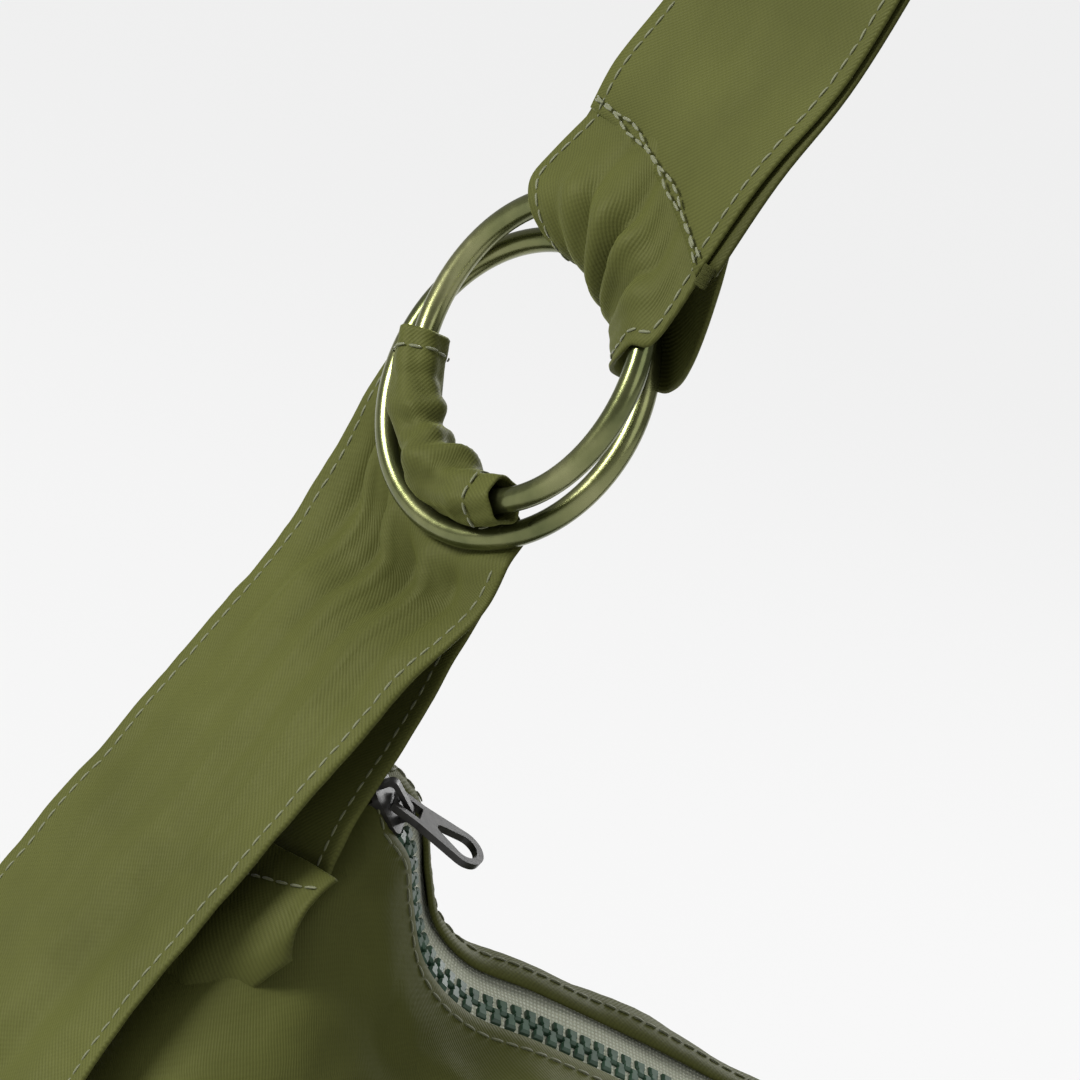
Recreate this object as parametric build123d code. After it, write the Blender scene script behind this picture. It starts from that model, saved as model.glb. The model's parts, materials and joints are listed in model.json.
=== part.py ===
from build123d import *
import os
from math import cos, degrees, radians, sin, tan

# Slouchy crossbody purse in nylon twill, hanging by its strap. Millimetres, +Z up.
# Origin: underside of the strap at its highest point. X runs along the bag, -Y is its front.
# The strap's left leg is fastened through a pair of rings; its loose tail hangs outside the bag.

# ---- driving dimensions -------------------------------------------------------------------
STRAP_WIDTH = 50.0
LAYER = 0.7  # one folded layer of strap fabric
LAYER_GAP = 0.4
APEX_RADIUS = 45.0  # underside of the strap where something holds it up
LEG_ANGLE = 72.0  # each leg of the strap above horizontal
LEG_TO_RING = 217.5  # along the left leg, from the end of the bend to the front ring's centre
STRAP_DRIFT = 6.5  # the leg above the rings hangs this far forward of their centre
RING_TWIST = 24.0  # turn of the strap at the rings, front edge towards the bag's middle
BASE_Z = -330.0  # where the strap's ends are sewn to the bag
LEFT_FOOT = (-138.5, 3.0)  # where the lower strap meets the bag's left shoulder
BASE_TWIST = 30.0  # turn of that seam, front end towards the bag's middle
BASE_BAND = 9.0
SHOULDER_ANGLE = 53.0  # slope of the bag's shoulders below its strap

RING_RADIUS = 27.2  # to the middle of the wire
WIRE_RADIUS = 2.2
RING_CLEARANCE = 0.35  # fabric stays this far off the wire
FRONT_RING_LEAN = (-4.5, -2.3)  # degrees off the strap's normal, towards its width and length
BACK_RING_LEAN = (2.8, 3.1)
BACK_RING_OFFSET = (-7.63, -4.47, -7.05)  # up the strap, across it and off its face
WRAP_WALL = 1.35  # gathered fabric round the front ring
WRAP_ARC = (150.0, 249.0)  # stretch of ring the fabric covers, from straight up the strap
LOOP_ARC = (-36.0, 62.0)
LOOP_WALL = 1.2
LOOP_BIGHT = 13.8  # radius at which the upper loop turns round both rings
LOOP_REACH = 38.0

PANEL = 1.2  # panel fabric with its interfacing
LINING_GAP = 0.8
LINING = 0.5
# (height, half length, half depth, shift towards the back) of the body's sections
BODY_SECTIONS = [
    (-306.0, 112.0, 10.0, 0.0),
    (-314.0, 121.5, 14.5, 0.0),
    (-328.0, 127.0, 19.0, 0.0),
    (-345.0, 138.0, 22.0, -4.0),
    (-365.0, 153.0, 28.0, -8.0),
    (-385.0, 162.0, 37.0, -6.0),
    (-410.0, 170.0, 46.0, -2.0),
    (-450.0, 174.0, 51.0, 0.0),
    (-500.0, 166.0, 46.0, 0.0),
    (-530.0, 146.0, 34.0, 0.0),
    (-545.0, 116.0, 17.0, 0.0),
]

ZIP_AXIS_Z = -218.5  # the closed zip follows an arc about a level axis at this height
ZIP_RADIUS = 154.0  # to the outer face of the panels beside the zip
ZIP_TILT = 28.0  # the zip faces up and this far towards the front
ZIP_START, ZIP_END = -51.4, 50.4  # ends of the opening, as angles from straight down
SLIDER_ANGLE = -48.0
SLOT_FRONT, SLOT_BACK = 7.0, 10.0  # tape showing before and behind the zip's middle
TAPE_FRONT, TAPE_BACK = 10.0, 12.0
TAPE_SHORT = 2.4  # degrees the tape stops short of each end of the opening
TAPE_DEPTH = -1.3  # outer face of the tape below the panels' outer face
TAPE_THICKNESS = 0.6
TOOTH_PITCH = 2.9
TOOTH = (1.7, 2.4, 2.6)  # along, across, through
TOOTH_DEPTH = -1.6  # middle of the teeth
TEETH_GAP = 0.6  # from the zip's middle to each row
SLIDER_LENGTH, SLIDER_WIDTH, SLIDER_PLATE = 10.0, 8.8, 1.2
PIVOT_HEIGHT = 2.4
PULLER_LENGTH, PULLER_THICKNESS, PULLER_LIFT = 18.5, 1.4, 27.0
PULLER_TIP = 4.0  # radius of its round end


# ---- frames -------------------------------------------------------------------------------
def strap_axes(twist, side=-1):
    """Directions up the leg, across it towards the front, and off its outer face."""
    angle, turn = radians(LEG_ANGLE), radians(twist)
    along = Vector(-side * cos(angle), 0, sin(angle))
    across = Vector(-side * sin(turn) * sin(angle), -cos(turn), -sin(turn) * cos(angle))
    return along, across, across.cross(along) * -side


def leg_start(side):
    """Where the bend at the top runs into a leg."""
    middle = APEX_RADIUS + LAYER + LAYER_GAP / 2
    angle = radians(LEG_ANGLE)
    return Vector(side * middle * sin(angle), 0, middle * cos(angle) - APEX_RADIUS)


def strap_foot(side):
    """Where a leg of the strap meets the bag, and the level direction across it there."""
    if side < 0:
        turn = radians(BASE_TWIST)
        return Vector(*LEFT_FOOT, BASE_Z), Vector(sin(turn), -cos(turn), 0)
    start = leg_start(side)
    foot = start + strap_axes(0, side)[0] * ((BASE_Z - start.Z) / sin(radians(LEG_ANGLE)))
    return foot, Vector(0, -1, 0)


UP, ACROSS, OUT = strap_axes(RING_TWIST)
RING_CENTRE = leg_start(-1) - UP * LEG_TO_RING


def ring_plane(lean, offset=(0, 0, 0)):
    normal = (OUT + ACROSS * tan(radians(lean[0])) + UP * tan(radians(lean[1]))).normalized()
    up = (UP - normal * UP.dot(normal)).normalized()
    centre = RING_CENTRE + UP * offset[0] + ACROSS * offset[1] + OUT * offset[2]
    return Plane(origin=centre, x_dir=up, z_dir=normal)


FRONT_RING = ring_plane(FRONT_RING_LEAN)
BACK_RING = ring_plane(BACK_RING_LEAN, BACK_RING_OFFSET)


def by_ring(up, across, out):
    """A point given from the front ring's centre: up the strap, to its front edge, outwards."""
    return FRONT_RING.origin + FRONT_RING.x_dir * up - FRONT_RING.y_dir * across + FRONT_RING.z_dir * out


def round_ring(profile, arc):
    """A flat profile (radius, height) swept round the front ring's axis over an arc."""
    angle = radians(arc[0])
    radial = FRONT_RING.x_dir * cos(angle) - FRONT_RING.y_dir * sin(angle)
    cut = Plane(origin=FRONT_RING.origin, x_dir=radial, z_dir=radial.cross(FRONT_RING.z_dir))
    return revolve(cut * profile, Axis(FRONT_RING.origin, -FRONT_RING.z_dir), arc[1] - arc[0])


def zip_plane(angle):
    """Frame on the zip at an angle: x along it, y across it to the back, z off its face."""
    turn, tilt = radians(angle), radians(ZIP_TILT)
    along = Vector(cos(turn), 0, sin(turn))
    inward = Vector(-sin(turn), 0, cos(turn))
    face = inward * cos(tilt) - Vector(0, 1, 0) * sin(tilt)
    return Plane(origin=Vector(0, 0, ZIP_AXIS_Z) - inward * ZIP_RADIUS, x_dir=along, z_dir=face)


def round_zip(across, depth, arc):
    """A band along the zip, from its span across and its span through, over an arc."""
    tilt = radians(ZIP_TILT)
    corners = [(across[0], depth[0]), (across[1], depth[0]), (across[1], depth[1]), (across[0], depth[1])]
    profile = Polygon(
        *[(ZIP_RADIUS - b * sin(tilt) - m * cos(tilt), b * cos(tilt) - m * sin(tilt)) for b, m in corners],
        align=None,
    )
    turn = radians(arc[0])
    centre = Vector(0, 0, ZIP_AXIS_Z)
    cut = Plane(origin=centre, x_dir=(sin(turn), 0, -cos(turn)), z_dir=(cos(turn), 0, sin(turn)))
    return revolve(cut * profile, Axis(centre, (0, -1, 0)), arc[1] - arc[0])


def ribbon(stations, thickness):
    """A flat band lofted through stations (point, across, width)."""
    points = [station[0] for station in stations]
    sections = []
    for index, (point, across, width) in enumerate(stations):
        ahead = points[min(index + 1, len(points) - 1)]
        behind = points[max(index - 1, 0)]
        run = (ahead - behind).normalized()
        side = (across - run * across.dot(run)).normalized()
        sections.append(Plane(origin=point, x_dir=side, z_dir=run) * Rectangle(width, thickness))
    return loft(sections, ruled=True)


# ---- strap --------------------------------------------------------------------------------
def strap_layer(inner, ring_height):
    """One layer of the strap: down the right leg, over the bend, and down to the upper loop."""
    low = APEX_RADIUS if inner else APEX_RADIUS + LAYER + LAYER_GAP
    shift = -(LAYER + LAYER_GAP) / 2 if inner else (LAYER + LAYER_GAP) / 2
    centre = Vector(0, 0, -APEX_RADIUS)
    start = Plane(origin=centre, x_dir=(0, 0, 1), z_dir=(1, 0, 0))
    band = start * Pos(low + LAYER / 2, 0) * Rectangle(LAYER, STRAP_WIDTH)
    bend = revolve(band, Axis(centre, (0, 1, 0)), LEG_ANGLE)
    bend += revolve(band, Axis(centre, (0, -1, 0)), LEG_ANGLE)
    front = Vector(0, -1, 0)
    out = strap_axes(0, 1)[2]
    lift = out * shift
    foot = strap_foot(1)[0]
    right = ribbon([(leg_start(1) + lift, front, STRAP_WIDTH), (foot + lift, front, STRAP_WIDTH)], LAYER)
    stations = []
    for drop, twist, drift in ((0, 0, 0), (75, 11, 0.5), (150, RING_TWIST, 1)):
        up, across, out = strap_axes(twist)
        point = leg_start(-1) - up * drop + out * shift + across * (drift * STRAP_DRIFT)
        stations.append((point, across, STRAP_WIDTH))
    gather = by_ring(LOOP_REACH + 5, STRAP_DRIFT, ring_height)
    stations.append((gather, ACROSS, STRAP_WIDTH - 6))
    return bend + right + ribbon(stations, LAYER)


def upper_loop():
    """Channel of fabric that goes round both rings and is sewn into the strap above them."""
    top = WIRE_RADIUS + RING_CLEARANCE
    bottom = -13.3
    outer = Polygon(
        (LOOP_BIGHT, top + LOOP_WALL),
        (LOOP_BIGHT, bottom - LOOP_WALL),
        (LOOP_REACH, bottom - LOOP_WALL),
        (LOOP_REACH, bottom),
        (LOOP_BIGHT + LOOP_WALL, bottom),
        (LOOP_BIGHT + LOOP_WALL, top),
        (LOOP_REACH, top),
        (LOOP_REACH, top + LOOP_WALL),
        align=None,
    )
    return round_ring(outer, LOOP_ARC)


def bartack():
    return Plane(origin=by_ring(LOOP_REACH - 1.0, 29.0, 2.0), x_dir=ACROSS, z_dir=OUT) * Box(4.0, 2.6, 3.0)


def ring_wrap():
    inner = WIRE_RADIUS + RING_CLEARANCE
    return round_ring(Pos(RING_RADIUS, 0) * (Circle(inner + WRAP_WALL) - Circle(inner)), WRAP_ARC)


def lower_strap():
    """From the bag up behind both rings, then out through their holes to the front ring."""
    across = -FRONT_RING.y_dir
    foot, level = strap_foot(-1)
    stations = [
        (foot, level, STRAP_WIDTH),
        (by_ring(-70, -8.0, -7.5), across, STRAP_WIDTH),
        (by_ring(-45, -11.0, -12.8), across, 44.0),
        (by_ring(-18, -7.0, -12.8), across, 34.0),
    ]
    slant = Polygon((22.2, -1.0), (23.0, -1.0), (25.8, -12.9), (25.0, -12.9), align=None)
    rise = round_ring(slant, (160.0, 238.0))
    return ribbon(stations, LAYER) + rise


def tail_root():
    """From the wrap down between the rings and out beneath the back ring."""
    profile = Polygon(
        (26.4, -4.15),
        (27.2, -4.15),
        (27.2, -10.0),
        (41.0, -10.0),
        (41.0, -LAYER - 10.0),
        (26.4, -LAYER - 10.0),
        align=None,
    )
    return round_ring(profile, WRAP_ARC)


TAIL_END = Vector(-186.0, -4.0, -494.0)


def strap_tail():
    across_low = strap_axes(8)[1]
    stations = [
        (by_ring(-41.8, -8.7, -10.4), -FRONT_RING.y_dir, 44.0),
        (by_ring(-50.0, -8.7, -6.0), ACROSS, STRAP_WIDTH),
        (by_ring(-72.0, -7.5, 3.5), ACROSS, STRAP_WIDTH),
        (by_ring(-97.0, -7.0, 10.5), ACROSS, STRAP_WIDTH),
        (by_ring(-121.5, -6.5, 16.4), ACROSS, STRAP_WIDTH),
        (Vector(-173.0, -1.0, -375.0), strap_axes(20)[1], STRAP_WIDTH),
        (Vector(-182.0, -2.0, -402.0), strap_axes(16)[1], STRAP_WIDTH),
        (Vector(-187.0, -3.0, -432.0), strap_axes(12)[1], STRAP_WIDTH),
        (Vector(-188.0, -3.5, -462.0), across_low, STRAP_WIDTH),
        (TAIL_END, across_low, STRAP_WIDTH),
    ]
    return ribbon(stations, 1.2)


def tail_hem():
    across = strap_axes(8)[1]
    step = Vector(0.6, 0, -14.0)
    start = TAIL_END + step * 0.08
    return ribbon([(start, across, STRAP_WIDTH + 0.4), (start + step, across, STRAP_WIDTH + 0.4)], 2.2)


def strap_base(side):
    """Folded band that joins a strap end to the bag's shoulder."""
    slope = radians(SHOULDER_ANGLE)
    foot, across = strap_foot(side)
    away = Vector(0, 0, side).cross(across)
    down = away * cos(slope) - Vector(0, 0, sin(slope))
    band = Box(STRAP_WIDTH + 3, BASE_BAND, 2.4)
    middle = foot + down * (BASE_BAND / 2 + 1.2)
    return Plane(origin=middle, x_dir=across, z_dir=across.cross(down)) * band


# ---- body ---------------------------------------------------------------------------------
def body_solid(inset):
    """Rounded slouching body, shrunk all round by an inset."""
    sections = []
    for index, (height, half_length, half_depth, shift) in enumerate(BODY_SECTIONS):
        lift = -inset if index == 0 else inset if index == len(BODY_SECTIONS) - 1 else 0
        outline = RectangleRounded(
            2 * (half_length - inset), 2 * (half_depth - inset), 0.94 * (half_depth - inset)
        )
        sections.append(Plane(origin=(0, shift, height + lift)) * outline)
    return loft(sections)


def half_space(front):
    box = Box(500, 200, 400, align=(Align.CENTER, Align.MAX if front else Align.MIN, Align.CENTER))
    return Pos(0, 0, -400) * box


def panels():
    outer = body_solid(0)
    above = round_zip((-90, 90), (0, 90), (-180, 180))
    shell = (outer - body_solid(PANEL)) - above
    shoulder = round_zip((-90, 90), (-PANEL, 0), (-180, 180)) & outer
    slot = round_zip((-SLOT_FRONT, SLOT_BACK), (-3, 3), (ZIP_START, ZIP_END))
    whole = (shell + shoulder) - slot
    halves = (whole & half_space(True), whole & half_space(False))
    return [max(half.solids(), key=lambda solid: solid.volume) for half in halves]


def linings():
    inset = PANEL + LINING_GAP
    shell = body_solid(inset) - body_solid(inset + LINING)
    shell -= round_zip((-90, 90), (-6, 90), (-180, 180))
    return shell & half_space(True), shell & half_space(False)


def slip_pocket():
    return Pos(0, 39.8, -450) * Box(150, 0.8, 80)


# ---- zip ----------------------------------------------------------------------------------
def zip_tape(front):
    edge = TEETH_GAP + TOOTH[1] + 0.05
    across = (-TAPE_FRONT, -edge) if front else (edge, TAPE_BACK)
    depth = (TAPE_DEPTH - TAPE_THICKNESS, TAPE_DEPTH)
    return round_zip(across, depth, (ZIP_START + TAPE_SHORT, ZIP_END - TAPE_SHORT))


def zip_teeth(front):
    step = degrees(TOOTH_PITCH / (ZIP_RADIUS - TOOTH_DEPTH))
    across = TEETH_GAP + TOOTH[1] / 2
    angle = ZIP_START + 1.6 + (step / 2 if front else 0)
    teeth = []
    while angle < ZIP_END - 2.0:
        place = zip_plane(angle) * Pos(0, -across if front else across, TOOTH_DEPTH)
        teeth.append(place * Box(*TOOTH))
        angle += step
    return teeth


def zip_stop(angle, length):
    across = TEETH_GAP + TOOTH[1] / 2
    place = zip_plane(angle)
    return [place * Pos(0, side * across, TOOTH_DEPTH) * Box(length, *TOOTH[1:]) for side in (-1, 1)]


def zip_slider():
    place = zip_plane(SLIDER_ANGLE)
    outline = Rectangle(SLIDER_LENGTH, SLIDER_WIDTH)
    outline = fillet(outline.vertices(), 2.2)
    top = TOOTH_DEPTH + TOOTH[2] / 2 + 0.4
    low = TOOTH_DEPTH - TOOTH[2] / 2 - 0.4
    outer = Pos(0, 0, top) * extrude(outline, SLIDER_PLATE)
    inner = Pos(0, 0, low - SLIDER_PLATE) * extrude(outline, SLIDER_PLATE)
    web = Pos(0, 0, (top + low) / 2) * Box(2.2, 0.5, top - low + 0.2)
    slider = outer + inner + web
    for side in (-1, 1):
        lip = Box(6.0, 0.5, 1.2, align=(Align.CENTER, Align.CENTER, Align.MAX))
        slider += Pos(0, side * (SLIDER_WIDTH / 2 - 0.25), top + 0.2) * lip
    return place * slider


def slider_bridge():
    """Arch over the slider that the puller's eye goes round."""
    face = TOOTH_DEPTH + TOOTH[2] / 2 + 0.4 + SLIDER_PLATE
    arch = Rectangle(8.4, 3.0, align=(Align.CENTER, Align.MIN))
    arch = fillet(arch.vertices().group_by(Axis.Y)[-1], 1.4)
    hole = Rectangle(6.4, 2.0, align=(Align.CENTER, Align.MIN))
    hole = fillet(hole.vertices().group_by(Axis.Y)[-1], 0.9)
    side = Plane(origin=(0, 0, face), x_dir=(1, 0, 0), z_dir=(0, -1, 0))
    return zip_plane(SLIDER_ANGLE) * (side * extrude(arch - hole, 0.8, both=True))


def zip_puller():
    """Flat tab with a long drop-shaped hole; its eye hangs on a bar under the bridge."""
    tip = Pos(PULLER_LENGTH - PULLER_TIP, 0) * Circle(PULLER_TIP)
    root = Pos(5.6, 0) * Rectangle(1.2, 5.6)
    blade = make_hull(tip.edges() + root.edges())
    wide_end = Pos(PULLER_LENGTH - PULLER_TIP, 0) * Circle(PULLER_TIP - 1.4)
    drop = make_hull(wide_end.edges() + (Pos(9.4, 0) * Circle(0.9)).edges())
    plate = extrude(blade - drop, PULLER_THICKNESS / 2, both=True)
    for side in (-1, 1):
        rail = Box(6.2, 1.2, PULLER_THICKNESS, align=(Align.MIN, Align.CENTER, Align.CENTER))
        plate += Pos(-0.6, side * 2.2, 0) * rail
    plate += Rot(90, 0, 0) * Cylinder(0.6, 4.4)
    tilt = Pos(0, 0, PIVOT_HEIGHT) * Rot(0, -PULLER_LIFT, 0)
    return zip_plane(SLIDER_ANGLE) * tilt * plate


# ---- write every sub-part -----------------------------------------------------------------
front_panel, back_panel = panels()
lining_front, lining_back = linings()
parts = {
    "front_panel": front_panel,
    "back_panel": back_panel,
    "lining_front": lining_front,
    "lining_back": lining_back,
    "slip_pocket": slip_pocket(),
    "zip_tape_front": zip_tape(True),
    "zip_tape_back": zip_tape(False),
    "zip_teeth_front": zip_teeth(True),
    "zip_teeth_back": zip_teeth(False),
    "zip_top_stops": zip_stop(ZIP_START + 0.7, 1.9),
    "zip_bottom_stop": zip_stop(ZIP_END - 1.0, 4.0),
    "zip_slider": zip_slider(),
    "zip_slider_bridge": slider_bridge(),
    "zip_puller": zip_puller(),
    "ring_front": FRONT_RING * Torus(RING_RADIUS, WIRE_RADIUS),
    "ring_back": BACK_RING * Torus(RING_RADIUS, WIRE_RADIUS),
    "strap_outer_layer": strap_layer(False, 3.2),
    "strap_inner_layer": strap_layer(True, -13.9),
    "strap_loop": upper_loop(),
    "loop_bartack": bartack(),
    "lower_strap": lower_strap(),
    "ring_wrap": ring_wrap(),
    "tail_root": tail_root(),
    "strap_tail": strap_tail(),
    "tail_hem": tail_hem(),
    "strap_base_left": strap_base(-1),
    "strap_base_right": strap_base(1),
}

os.makedirs("parts", exist_ok=True)
for name, shape in parts.items():
    solid = Compound(children=list(shape)) if isinstance(shape, list) else shape
    export_step(solid, f"parts/{name}.step")
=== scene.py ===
import json
from math import cos, pi, radians, sin

import bpy
import numpy as np
from mathutils import Matrix, Vector, noise


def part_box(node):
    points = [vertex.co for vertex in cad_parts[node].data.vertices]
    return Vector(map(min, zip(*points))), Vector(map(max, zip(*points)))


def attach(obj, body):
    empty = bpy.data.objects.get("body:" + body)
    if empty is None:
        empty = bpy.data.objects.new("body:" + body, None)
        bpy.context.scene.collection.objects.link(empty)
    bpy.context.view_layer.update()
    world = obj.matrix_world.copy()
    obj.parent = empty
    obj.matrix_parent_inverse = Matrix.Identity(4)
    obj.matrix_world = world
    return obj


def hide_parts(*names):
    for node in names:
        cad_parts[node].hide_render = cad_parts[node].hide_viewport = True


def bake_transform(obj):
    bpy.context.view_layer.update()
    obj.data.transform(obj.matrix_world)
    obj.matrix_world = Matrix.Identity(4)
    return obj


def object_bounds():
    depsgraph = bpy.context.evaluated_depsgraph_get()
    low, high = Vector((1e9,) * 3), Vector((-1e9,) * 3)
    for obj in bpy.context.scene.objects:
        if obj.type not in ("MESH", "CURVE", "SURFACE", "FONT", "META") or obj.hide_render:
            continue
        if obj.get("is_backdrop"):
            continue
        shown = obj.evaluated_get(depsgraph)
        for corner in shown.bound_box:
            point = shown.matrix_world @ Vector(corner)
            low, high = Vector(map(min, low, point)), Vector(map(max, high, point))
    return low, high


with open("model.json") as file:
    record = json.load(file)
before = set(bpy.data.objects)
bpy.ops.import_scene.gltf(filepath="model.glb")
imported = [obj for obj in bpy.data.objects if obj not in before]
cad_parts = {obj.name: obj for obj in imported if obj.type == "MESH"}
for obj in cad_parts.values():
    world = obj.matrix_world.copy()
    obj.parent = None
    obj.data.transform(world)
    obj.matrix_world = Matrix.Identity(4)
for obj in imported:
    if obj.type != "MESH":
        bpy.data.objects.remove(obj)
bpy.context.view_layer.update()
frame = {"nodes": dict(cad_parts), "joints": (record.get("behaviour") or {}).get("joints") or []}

MM = 0.001
JOINTS = {joint["name"]: joint for joint in frame["joints"]}


def vec(values):
    return np.array(values, float)


def unit(vector):
    return vector / np.linalg.norm(vector)


# ---- the strap's and the rings' frames, as the CAD has them ------------------------------
LEG_ANGLE = radians(72)
APEX_RADIUS = 45.9 * MM
RING_RADIUS, WIRE_RADIUS = 27.2 * MM, 2.2 * MM
LEG_UP = vec([cos(LEG_ANGLE), 0, sin(LEG_ANGLE)])
RING = vec(JOINTS["front_ring_turn"]["pos_m"])
RING_OUT = unit(vec(JOINTS["front_ring_turn"]["axis"]))
RING_UP = unit(LEG_UP - RING_OUT * LEG_UP.dot(RING_OUT))
RING_SIDE = np.cross(RING_UP, RING_OUT)
BACK_RING = vec(JOINTS["back_ring_turn"]["pos_m"])
BACK_OUT = unit(vec(JOINTS["back_ring_turn"]["axis"]))
BACK_UP = unit(LEG_UP - BACK_OUT * LEG_UP.dot(BACK_OUT))
BACK_SIDE = np.cross(BACK_UP, BACK_OUT)


def by_ring(up, side, out):
    """Millimetres from the front ring's centre: up the strap, to its front edge, off its face."""
    return RING + (RING_UP * up + RING_SIDE * side + RING_OUT * out) * MM


def round_ring(angle, radius, out):
    """A point at an angle round the front ring, in degrees from straight up the strap."""
    turn = radians(angle)
    return by_ring(radius * cos(turn), radius * sin(turn), out)


def back_wire(angle):
    """(radius, height) of the back ring's wire at an angle round the front ring, in mm."""
    turns = np.radians(np.arange(0, 360, 3.0))
    spokes = np.outer(np.cos(turns), BACK_UP) + np.outer(np.sin(turns), BACK_SIDE)
    points = BACK_RING + RING_RADIUS * spokes
    offset = (points - RING) / MM
    up, side, out = offset @ RING_UP, offset @ RING_SIDE, offset @ RING_OUT
    angles = np.degrees(np.arctan2(side, up)) % 360
    order = np.argsort(angles)
    radius = np.interp(angle % 360, angles[order], np.hypot(up, side)[order], period=360)
    return radius, np.interp(angle % 360, angles[order], out[order], period=360)


# ---- mesh helpers ------------------------------------------------------------------------
def catmull(points, count):
    """A smooth line of count points through the given ones."""
    points = np.asarray(points, float)
    ends = np.vstack([2 * points[0] - points[1], points, 2 * points[-1] - points[-2]])
    steps = np.linalg.norm(np.diff(ends.reshape(len(ends), -1), axis=0), axis=1) ** 0.5 + 1e-9
    knots = np.concatenate([[0], np.cumsum(steps)])
    line = []
    for t in np.linspace(knots[1], knots[-2] - 1e-9, count):
        k = int(np.clip(np.searchsorted(knots, t) - 1, 1, len(points) - 1))
        t0, t1, t2, t3 = knots[k - 1:k + 3]
        p0, p1, p2, p3 = ends[k - 1:k + 3]
        a1 = (t1 - t) / (t1 - t0) * p0 + (t - t0) / (t1 - t0) * p1
        a2 = (t2 - t) / (t2 - t1) * p1 + (t - t1) / (t2 - t1) * p2
        a3 = (t3 - t) / (t3 - t2) * p2 + (t - t2) / (t3 - t2) * p3
        b1 = (t2 - t) / (t2 - t0) * a1 + (t - t0) / (t2 - t0) * a2
        b2 = (t3 - t) / (t3 - t1) * a2 + (t - t1) / (t3 - t1) * a3
        line.append((t2 - t) / (t2 - t1) * b1 + (t - t1) / (t2 - t1) * b2)
    return np.array(line)


def grid_normals(grid, closed=False):
    """Unit normals of a grid of points, rows along and columns across."""
    along = np.gradient(grid, axis=0)
    across = np.gradient(grid, axis=1)
    if closed:
        across = (np.roll(grid, -1, 1) - np.roll(grid, 1, 1)) / 2
    normals = np.cross(across, along)
    return normals / (np.linalg.norm(normals, axis=2, keepdims=True) + 1e-12)


def swell(grid, amount, closed=False):
    """The grid moved along its normals by an array of amounts."""
    return grid + grid_normals(grid, closed) * amount[..., None]


def crumple(grid, size, height, seed, depth=3):
    """Small soft random creases in a grid of cloth."""
    offset = Vector((seed * 7.3, seed * 3.1, seed * 1.7))
    amount = np.zeros(grid.shape[:2])
    for i, row in enumerate(grid):
        for j, point in enumerate(row):
            value = noise.fractal(Vector(point) / size + offset, 0.9, 2.1, depth)
            amount[i, j] = height * value
    return amount


def add_piece(name, vertices, faces, uvs, material, smooth=True):
    mesh = bpy.data.meshes.new(name)
    mesh.from_pydata([tuple(v) for v in vertices], [], faces)
    layer = mesh.uv_layers.new(name="cloth")
    loops = np.zeros(len(mesh.loops), int)
    mesh.loops.foreach_get("vertex_index", loops)
    layer.data.foreach_set("uv", np.asarray(uvs, np.float32)[loops].ravel())
    mesh.polygons.foreach_set("use_smooth", [smooth] * len(mesh.polygons))
    mesh.materials.append(material)
    mesh.validate()
    mesh.update()
    piece = bpy.data.objects.new(name, mesh)
    bpy.context.scene.collection.objects.link(piece)
    return piece


def cloth(name, grid, thickness, material, closed=False):
    """A closed sheet of cloth with rounded edges, its middle on a grid of points."""
    rows, columns = grid.shape[:2]
    normals = grid_normals(grid, closed)
    half = thickness / 2
    wrap = np.concatenate([grid, grid[:, :1]], 1) if closed else grid
    steps = np.linalg.norm(np.diff(wrap, axis=1), axis=2)
    across = np.concatenate([np.zeros((rows, 1)), np.cumsum(steps, 1)], 1)
    across = across[:, :columns] - across[:, [columns // 2]]
    steps = np.linalg.norm(np.diff(grid, axis=0), axis=2)
    along = np.concatenate([np.zeros((1, columns)), np.cumsum(steps, 0)], 0)
    uv = np.stack([across, along.mean(1, keepdims=True).repeat(columns, 1)], -1).reshape(-1, 2)
    top, low = grid + normals * half, grid - normals * half
    vertices = np.concatenate([top.reshape(-1, 3), low.reshape(-1, 3)])
    uvs = np.concatenate([uv, uv])
    count = rows * columns
    faces = []
    last = columns if closed else columns - 1
    for i in range(rows - 1):
        for j in range(last):
            k = (j + 1) % columns
            a, b, c, d = i * columns + j, i * columns + k, (i + 1) * columns + k, (i + 1) * columns + j
            faces.append((a, b, c, d))
            faces.append((d + count, c + count, b + count, a + count))
    rim = [(0, j) for j in range(columns)] + [(i, columns - 1) for i in range(1, rows)]
    rim += [(rows - 1, j) for j in range(columns - 2, -1, -1)] + [(i, 0) for i in range(rows - 2, 0, -1)]
    loops = [rim]
    if closed:
        loops = [[(0, j) for j in range(columns)], [(rows - 1, j) for j in range(columns - 1, -1, -1)]]
    for loop in loops:
        start = len(vertices)
        middle, extra = [], []
        for i, j in loop:
            inner = grid[min(max(i, 1), rows - 2), j if closed else min(max(j, 1), columns - 2)]
            outward = grid[i, j] - inner
            outward -= normals[i, j] * outward.dot(normals[i, j])
            middle.append(grid[i, j] + outward / (np.linalg.norm(outward) + 1e-9) * half)
            extra.append(uv[i * columns + j])
        vertices = np.concatenate([vertices, middle])
        uvs = np.concatenate([uvs, extra])
        for n, (i, j) in enumerate(loop):
            m = (n + 1) % len(loop)
            a, b = i * columns + j, loop[m][0] * columns + loop[m][1]
            faces.append((b, a, start + n, start + m))
            faces.append((start + m, start + n, a + count, b + count))
    return add_piece(name, vertices, faces, uvs, material)


def run_lengths(points):
    """How far along a line each of its points lies."""
    return np.concatenate([[0], np.cumsum(np.linalg.norm(np.diff(points, axis=0), axis=1))])


def at_lengths(places, lengths, values):
    """Three-part values that belong to a line's points, read off at other places along it."""
    return np.stack([np.interp(places, lengths, values[:, k]) for k in range(3)], -1)


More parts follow.
